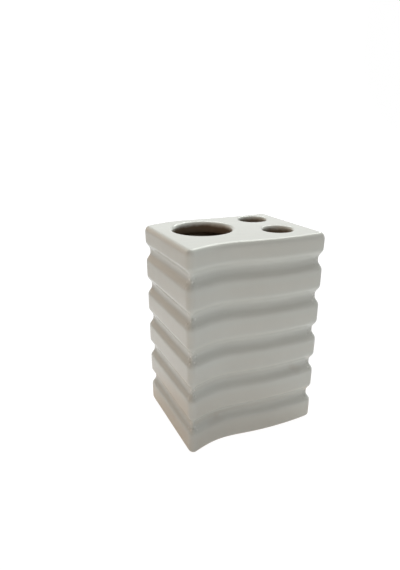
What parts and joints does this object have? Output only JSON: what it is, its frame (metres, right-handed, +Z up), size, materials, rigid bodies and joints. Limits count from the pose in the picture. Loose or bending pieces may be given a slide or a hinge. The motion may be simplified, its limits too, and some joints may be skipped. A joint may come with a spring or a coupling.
{
  "type": "pen holder",
  "caption": "Hollow glazed ceramic desk holder for pens and scissors, wavy at front and back, banded by level grooves, with round mouths in its flat top and soft pads under its base.",
  "frame": {"origin": "on the desk, under the middle of the bounding box", "axes": "+Z up, from the pads to the top; +X to the right, seen from the front, along the longer side of the plan; +Y to the back, along the shorter side"},
  "size_m": [0.0762, 0.0624, 0.11],
  "materials": {
    "glaze": "glossy off-white glaze",
    "pad_rubber": "matt soft grey rubber"
  },
  "bodies": {
    "root": {"ceramic_body": "glaze", "foot_pad_front_left": "pad_rubber", "foot_pad_front_right": "pad_rubber", "foot_pad_rear_left": "pad_rubber", "foot_pad_rear_right": "pad_rubber"}
  },
  "joints": []
}
